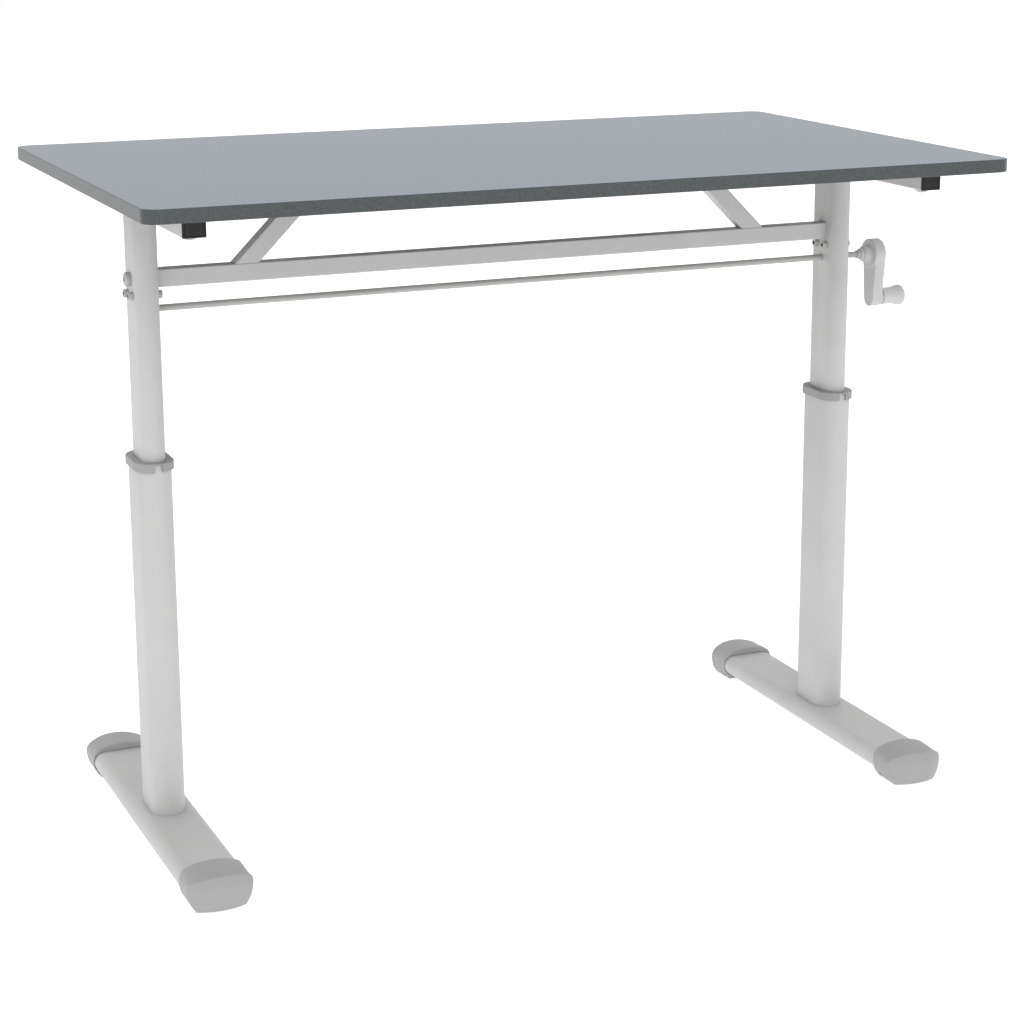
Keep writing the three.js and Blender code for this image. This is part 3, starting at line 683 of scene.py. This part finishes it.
# ---------------------------------------------------------------- support arms, crossbar, braces
ARM_CORNER = 2.5 * MM
ARM_BORE_CORNER = 1 * MM
ARM_WALL = 1.5 * MM
ARM_EDGE = 0.6 * MM
# (distance from the cap's face, inset, corner radius) in mm: plug, flange, shallow groove, flat middle
CAP_STEPS = (
    (14.0, 2.2, 0.8), (2.0, 2.2, 0.8), (2.0, 0.1, 1.2), (0.5, 0.0, 1.2), (0.15, 0.15, 1.1), (0.0, 0.5, 1.0),
    (0.0, 1.9, 0.9), (0.7, 2.2, 0.8), (0.7, 3.1, 0.8), (0.15, 3.5, 0.8), (0.0, 4.0, 0.8),
)


def make_arm(end):
    node = f"top_arm_{end}"
    lo, hi = low(node), high(node)
    mid = (lo + hi) / 2
    half = (hi.x - lo.x) / 2
    bore = half - ARM_WALL
    tube = hollow(f"support_arm_{end}", lambda inset: rounded(half - inset, half - inset, ARM_CORNER - inset),
                  rounded(bore, bore, ARM_BORE_CORNER), lo.y, hi.y, "Y", (mid.x, 0, mid.z), "frame_paint",
                  edge=ARM_EDGE)
    place(weighted(tube), "upper", "frame_paint", node)
    for where, way in (("front", -1), ("rear", 1)):
        make_arm_cap(where, way, end, half, mid)
        make_arm_screw(where, way, end)


def make_arm_cap(where, way, end, half, mid):
    node = f"arm_cap_{where}_{end}"
    face_y = low(node).y if way < 0 else high(node).y
    rings = []
    for run, inset, corner in CAP_STEPS:
        outline = rounded(half - inset * MM, half - inset * MM, corner * MM, 6)
        rings.append(lay(outline, face_y - way * run * MM, "Y", (mid.x, 0, mid.z)))
    verts, faces = loft(rings)
    cap = new_object(f"end_cap_{where}_{end}", verts, faces, "black_plastic")
    place(weighted(cap), "upper", "black_plastic", node)


# (radius, height) of the pan head in mm
PAN_HEAD = ((0, 0.0), (3.2, 0.1), (5.8, 0.95), (7.8, 2.3), (9.0, 3.9), (9.4, 5.1), (9.3, 5.55))
PAN_HEIGHT = 5.6 * MM
PAN_SHANK = 2.9 * MM
# the photo shows the screws this much further from the arms' ends than the frame does
ARM_SCREW_SHIFT = 5 * MM
CROSS_HALF_LENGTH = 3.2 * MM
CROSS_HALF_WIDTH = 0.8 * MM
CROSS_DEPTH = 2.2 * MM


def make_arm_screw(where, way, end):
    node = f"arm_screw_{where}_{end}"
    mid = centre(node)
    y = mid.y - way * ARM_SCREW_SHIFT
    bottom = low(node).z
    length = high(node).z - bottom
    profile = in_metres(smooth_curve(PAN_HEAD, 4))
    profile += [(PAN_SHANK, PAN_HEIGHT), (PAN_SHANK, length - 1.5 * MM), (0, length)]
    screw = lathe(f"pan_screw_{where}_{end}", profile, "Z", (mid.x, y, bottom), "zinc_steel",
                  sharp_degrees=40)
    cross = [
        block(mid.x - a, mid.x + a, y - b, y + b, bottom - 2 * MM, bottom + CROSS_DEPTH)
        for a, b in ((CROSS_HALF_LENGTH, CROSS_HALF_WIDTH), (CROSS_HALF_WIDTH, CROSS_HALF_LENGTH))
    ]
    carve(screw, *cross)
    set_materials(screw, "zinc_steel")
    place(screw, "upper", "zinc_steel", node)


# of the crossbar and the braces
BAR_CORNER = 1.8 * MM
RAIL_EDGE = 0.2 * MM


def make_crossbar():
    lo, hi = low("crossbar"), high("crossbar")
    mid = (lo + hi) / 2
    hy, hz = (hi.y - lo.y) / 2, (hi.z - lo.z) / 2
    rail = bar("cross_rail", lambda inset: rounded(hy - inset, hz - inset, BAR_CORNER - inset),
               lo.x, hi.x, "X", (0, mid.y, mid.z), "frame_paint", edge=RAIL_EDGE)
    place(weighted(rail), "upper", "frame_paint", "crossbar")


# the braces stand at 45 degrees, so their level cut is this much wider than the tube
CUT_WIDENING = math.sqrt(2)
BEAD = 1.6 * MM


def make_brace(end):
    node = f"brace_{end}"
    lo, hi = low(node), high(node)
    mid_y = (lo.y + hi.y) / 2
    depth = (hi.y - lo.y) / 2
    rise = hi.z - lo.z
    width = ((hi.x - lo.x) - rise) / 2
    side = -1 if end == "left" else 1
    foot_x = (lo.x + width) if side < 0 else (hi.x - width)
    rings = []
    for share in (0.0, 1.0):
        outline = rounded(width / CUT_WIDENING, depth, BAR_CORNER)
        x = foot_x - side * rise * share
        rings.append([Vector((x + u * CUT_WIDENING, mid_y + v, lo.z + rise * share)) for u, v in outline])
    verts, faces = loft(rings)
    strut = new_object(f"strut_{end}", verts, faces, "frame_paint")
    place(weighted(strut), "upper", "frame_paint", node)

    def bead_ring(outline, up):
        return [Vector((foot_x - side * up + u * CUT_WIDENING, mid_y + v, lo.z + up)) for u, v in outline]

    # fillet weld round the foot of the strut
    bead = []
    for i in range(5):
        a = math.pi / 2 * i / 4
        out = BEAD * (1 - math.sin(a))
        up = BEAD * (1 - math.cos(a))
        outline = rounded((width - 0.1 * MM) / CUT_WIDENING + out, depth - 2.2 * MM + 0.2 * out, BAR_CORNER)
        bead.append(bead_ring(outline, up))
    inner = rounded((width - 1 * MM) / CUT_WIDENING, depth - 3 * MM, BAR_CORNER)
    bead.append(bead_ring(inner, BEAD))
    bead.append(bead_ring(inner, 0.0))
    verts, faces = loft(bead, closed=True)
    place(new_object(f"strut_weld_{end}", verts, faces, "frame_paint"), "upper", "frame_paint")


# ---------------------------------------------------------------- fixings
# (radius, distance from the tip of the head) in mm
BOX_SCREW_HEAD = ((0, 0.0), (4.4, 0.0), (5.1, 0.2), (5.5, 0.7), (5.6, 1.4), (5.6, 6.0), (5.3, 6.4))
BOX_SCREW_SHANK = ((3.0, 6.4), (3.0, 15.8), (2.4, 16.4), (0, 16.4))
BOX_SOCKET_RADIUS = 2.9 * MM
BOX_SOCKET_DEPTH = 3.2 * MM
BAR_BOLT_HEAD = (
    (0, 1.7), (4.6, 1.7), (7.4, 2.1), (8.8, 2.9), (9.5, 4.2), (9.6, 5.2), (9.6, 9.1), (9.3, 9.4), (4.0, 9.4),
)
BAR_SOCKET_RADIUS = 3.6 * MM
BAR_SOCKET_DEPTH = 3.9 * MM


def cut_key_socket(screw, tip, out, mid, radius, depth, turn):
    """Cuts a hexagon socket into the head at tip; out is the way the head faces along X."""
    start, end = sorted((tip + out * 2 * MM, tip - out * depth))
    carve(screw, prism(6, radius, start, end, "X", (0, mid.y, mid.z), turn))


def paint_socket_shade(screw, tip, mid, radius, depth):
    """Paints the faces inside a key socket near black: painted shade for the unlit recess."""
    # the second slot holds the painted shade of the socket's inside
    set_materials(screw, "zinc_steel", "black_plastic")
    verts = screw.data.vertices
    for face in screw.data.polygons:
        reach = max(math.hypot(verts[i].co.y - mid.y, verts[i].co.z - mid.z) for i in face.vertices)
        sunk = sum(abs(verts[i].co.x - tip) for i in face.vertices) / len(face.vertices)
        face.material_index = 1 if reach < radius and 0.1 * MM < sunk < depth else 0


def make_box_screw(face, where, end):
    node = f"box_screw_{face}_{where}_{end}"
    lo, hi = low(node), high(node)
    mid = (lo + hi) / 2
    out = 1 if mid.x > centre(f"inner_column_{end}").x else -1
    tip = hi.x if out > 0 else lo.x
    profile = in_metres(BOX_SCREW_HEAD + BOX_SCREW_SHANK, -out)
    screw = lathe(f"socket_screw_{face}_{where}_{end}", profile, "X", (tip, mid.y, mid.z), "zinc_steel", 40)
    cut_key_socket(screw, tip, out, mid, BOX_SOCKET_RADIUS, BOX_SOCKET_DEPTH, 0.2)
    # the inside of the socket gets painted shade
    paint_socket_shade(screw, tip, mid, BOX_SOCKET_RADIUS + 0.02 * MM, BOX_SOCKET_DEPTH + 0.1 * MM)
    place(screw, "upper", "zinc_steel", node)


def make_bar_bolt(end):
    node = f"bar_bolt_{end}"
    lo, hi = low(node), high(node)
    mid = (lo + hi) / 2
    out = -1 if end == "left" else 1
    tip = lo.x if out < 0 else hi.x
    length = (hi.x - lo.x) / MM
    shank = ((4.0, length - 1.0), (3.2, length), (0, length))
    profile = in_metres(BAR_BOLT_HEAD + shank, -out)
    bolt = lathe(f"frame_bolt_{end}", profile, "X", (tip, mid.y, mid.z), "zinc_steel")
    cut_key_socket(bolt, tip, out, mid, BAR_SOCKET_RADIUS, BAR_SOCKET_DEPTH, 0.3)
    place(bolt, "upper", "zinc_steel", node)


# ---------------------------------------------------------------- shaft and crank
SHAFT_CHAMFER = 0.8 * MM
# (radius, distance from the hub's left end) in mm
HUB = (
    (0, 0.0), (5.2, 0.0), (5.6, 0.4), (5.6, 2.9), (7.9, 3.3), (8.4, 3.8), (8.7, 7.4), (11.2, 8.5),
    (11.8, 9.4), (12.6, 17.0), (14.6, 19.2), (20.4, 19.5), (21.5, 19.9), (22, 21.0), (22, 35.6),
    (21.4, 37.2), (19.8, 38.4), (17.5, 39.0), (0, 39.0),
)
STOP_RING = ((0, 0), (5.2, 0), (5.7, 0.4), (5.7, 1.8), (5.2, 2.2), (0, 2.2))
STOP_RING_OFFSET = 2.4 * MM
# crank plate: half width at the shaft, half width and reach of its round lower end
PLATE_ROOT = 18.9 * MM
PLATE_TIP = 12.5 * MM
PLATE_END = 13.6 * MM
# (distance from the hub's left end, lean down the plate) in mm of the plate's two faces
PLATE_FACES = ((22.1, -0.4), (39.0, -0.6))
# boss that the grip turns on
BOSS = ((0, 0), (11.9, 0), (11.9, 7.5), (11.4, 7.9), (0, 7.9))
BOSS_OFFSET = 34.5 * MM
CAST_VOXEL = 0.55 * MM
GRIP_LENGTH = 36.6
GRIP_RADIUS = 15.4
GRIP = (
    (11.2, 0.0), (12.5, 0.9), (12.4, 7.6), (12.5, 15.6), (13.1, 20.6), (14.4, 25.1), (15.3, 29.0),
    (15.35, 31.8), (14.3, 34.4), (11.6, 36.1), (6.5, GRIP_LENGTH), (0, GRIP_LENGTH),
)


def make_shaft():
    lo, hi = low("drive_shaft"), high("drive_shaft")
    mid = (lo + hi) / 2
    length = hi.x - lo.x
    radius = (hi.z - lo.z) / 2
    face = radius - SHAFT_CHAMFER
    profile = [
        (0, 0), (face, 0), (radius, SHAFT_CHAMFER),
        (radius, length - SHAFT_CHAMFER), (face, length), (0, length),
    ]
    rod = lathe("crank_shaft", profile, "X", (lo.x, mid.y, mid.z), "zinc_steel", 40)
    place(weighted(rod), "crank", "zinc_steel", "drive_shaft")


def make_crank():
    left = low("crank_arm").x
    axis = centre("drive_shaft")
    grip_z = centre("crank_grip").z
    hub = lathe("crank_casting", in_metres(HUB), "X", (left, axis.y, axis.z), "crank_paint", 64)
    plate = crank_plate(left, axis, axis.z - grip_z)
    boss = lathe("tool", in_metres(BOSS), "X", (left + BOSS_OFFSET, axis.y, grip_z), "crank_paint")
    carve(hub, plate, boss, operation="UNION")
    # one voxel skin, smoothed and thinned, gives the soft inner corners of a casting
    remesh = hub.modifiers.new("cast", "REMESH")
    remesh.mode = "VOXEL"
    remesh.voxel_size = CAST_VOXEL
    soften = hub.modifiers.new("soften", "SMOOTH")
    soften.factor = 0.5
    soften.iterations = 5
    thin = hub.modifiers.new("thin", "DECIMATE")
    thin.ratio = 0.35
    bake(hub)
    finish_mesh(hub.data, 180.0)
    set_materials(hub, "crank_paint")
    place(hub, "crank", "crank_paint", "crank_arm")

    stop = lathe("shaft_stop_ring", in_metres(STOP_RING), "X", (left - STOP_RING_OFFSET, axis.y, axis.z),
                 "zinc_steel", 40)
    place(stop, "crank", "zinc_steel")

    barrel = [(min(r, GRIP_RADIUS), min(max(x, 0), GRIP_LENGTH)) for r, x in smooth_curve(GRIP, 5)]
    grip = lathe("hand_grip", in_metres([(0, 0)] + barrel), "X", (low("crank_grip").x, axis.y, grip_z),
                 "grip_plastic", 64)
    place(grip, "grip", "grip_plastic", "crank_grip")


def crank_plate(left, axis, drop):
    """Tapered plate from the hub's middle down round the grip's axis, as a tool for the union."""
    outline = [(-PLATE_ROOT, 0.0)]
    for i in range(17):
        a = math.pi + math.pi * i / 16
        outline.append((PLATE_TIP * math.cos(a), -drop + PLATE_END * math.sin(a)))
    outline.append((PLATE_ROOT, 0.0))
    rings = []
    for x, lean in PLATE_FACES:
        rings.append([
            Vector((left + (x - lean * z / drop) * MM, axis.y + y, axis.z + z)) for y, z in outline
        ])
    verts, faces = loft(rings)
    return new_object("tool", verts, faces, "crank_paint")


# ---------------------------------------------------------------- floor and light
FLOOR_HALF = 12
FLOOR_COLOUR = (0.76, 0.76, 0.76)
FLOOR_GLOW = 0.60
WORLD_STRENGTH = 1.0
KEY_AT = Vector((-1.4, -4.2, 4.2))
KEY_TO = Vector((0, 0, 0.4))
KEY_SIZE = 3.0
KEY_POWER = 46.0


def make_floor():
    corners = [(-1, -1), (1, -1), (1, 1), (-1, 1)]
    mesh = bpy.data.meshes.new("floor")
    mesh.from_pydata([(FLOOR_HALF * x, FLOOR_HALF * y, 0) for x, y in corners], [], [(0, 1, 2, 3)])
    floor = bpy.data.objects.new("floor", mesh)
    bpy.context.scene.collection.objects.link(floor)
    material, tree, shader, coords = nodes_of("floor_pale")
    cloud = noise(tree, coords, 1.5)
    tree.links.new(
        ramp(tree, cloud, [(NOISE_LOW, shade(FLOOR_COLOUR, 0.99)), (NOISE_HIGH, FLOOR_COLOUR)]),
        shader.inputs["Base Color"],
    )
    shader.inputs["Roughness"].default_value = 0.9
    shader.inputs["Specular IOR Level"].default_value = 0.1
    shader.inputs["Emission Color"].default_value = (*WHITE, 1.0)
    shader.inputs["Emission Strength"].default_value = FLOOR_GLOW
    mesh.materials.append(material)


def make_light():
    world = bpy.data.worlds.new("studio")
    bpy.context.scene.world = world
    world.use_nodes = True
    background = world.node_tree.nodes["Background"]
    background.inputs["Color"].default_value = (*WHITE, 1.0)
    background.inputs["Strength"].default_value = WORLD_STRENGTH

    data = bpy.data.lights.new("key", "AREA")
    data.shape = "DISK"
    data.size = KEY_SIZE
    data.energy = KEY_POWER
    light = bpy.data.objects.new("key", data)
    bpy.context.scene.collection.objects.link(light)
    light.location = KEY_AT
    light.rotation_euler = (KEY_TO - KEY_AT).to_track_quat("-Z", "Y").to_euler()


# ---------------------------------------------------------------- the whole desk
make_camera()
make_tabletop()
for end in ENDS:
    make_leg(end)
    make_arm(end)
    make_brace(end)
    make_bar_bolt(end)
    for where in WHERE:
        make_box_screw("outer", where, end)
        make_box_screw("inner", where, end)
make_crossbar()
make_shaft()
make_crank()
make_floor()
make_light()

# parts inside the columns, and the grip's pin, keep the frame's shape and only get a material
INSIDE = {
    "screw_post": "zinc_steel",
    "lift_nut": "bronze",
    "guide_block": "white_nylon",
    "gearbox_front": "cast_alloy",
    "gearbox_rear": "cast_alloy",
    "lift_screw": "zinc_steel",
    "screw_bevel": "gear_steel",
    "shaft_bevel": "gear_steel",
}
kept_nodes = {f"{stem}_{end}": key for end in ENDS for stem, key in INSIDE.items()}
kept_nodes["grip_pin"] = "zinc_steel"
for node, key in kept_nodes.items():
    for material_slot in NODES[node].material_slots:
        material_slot.material = MATERIAL[key]

bpy.context.scene.view_settings.view_transform = "Standard"
bpy.context.view_layer.update()
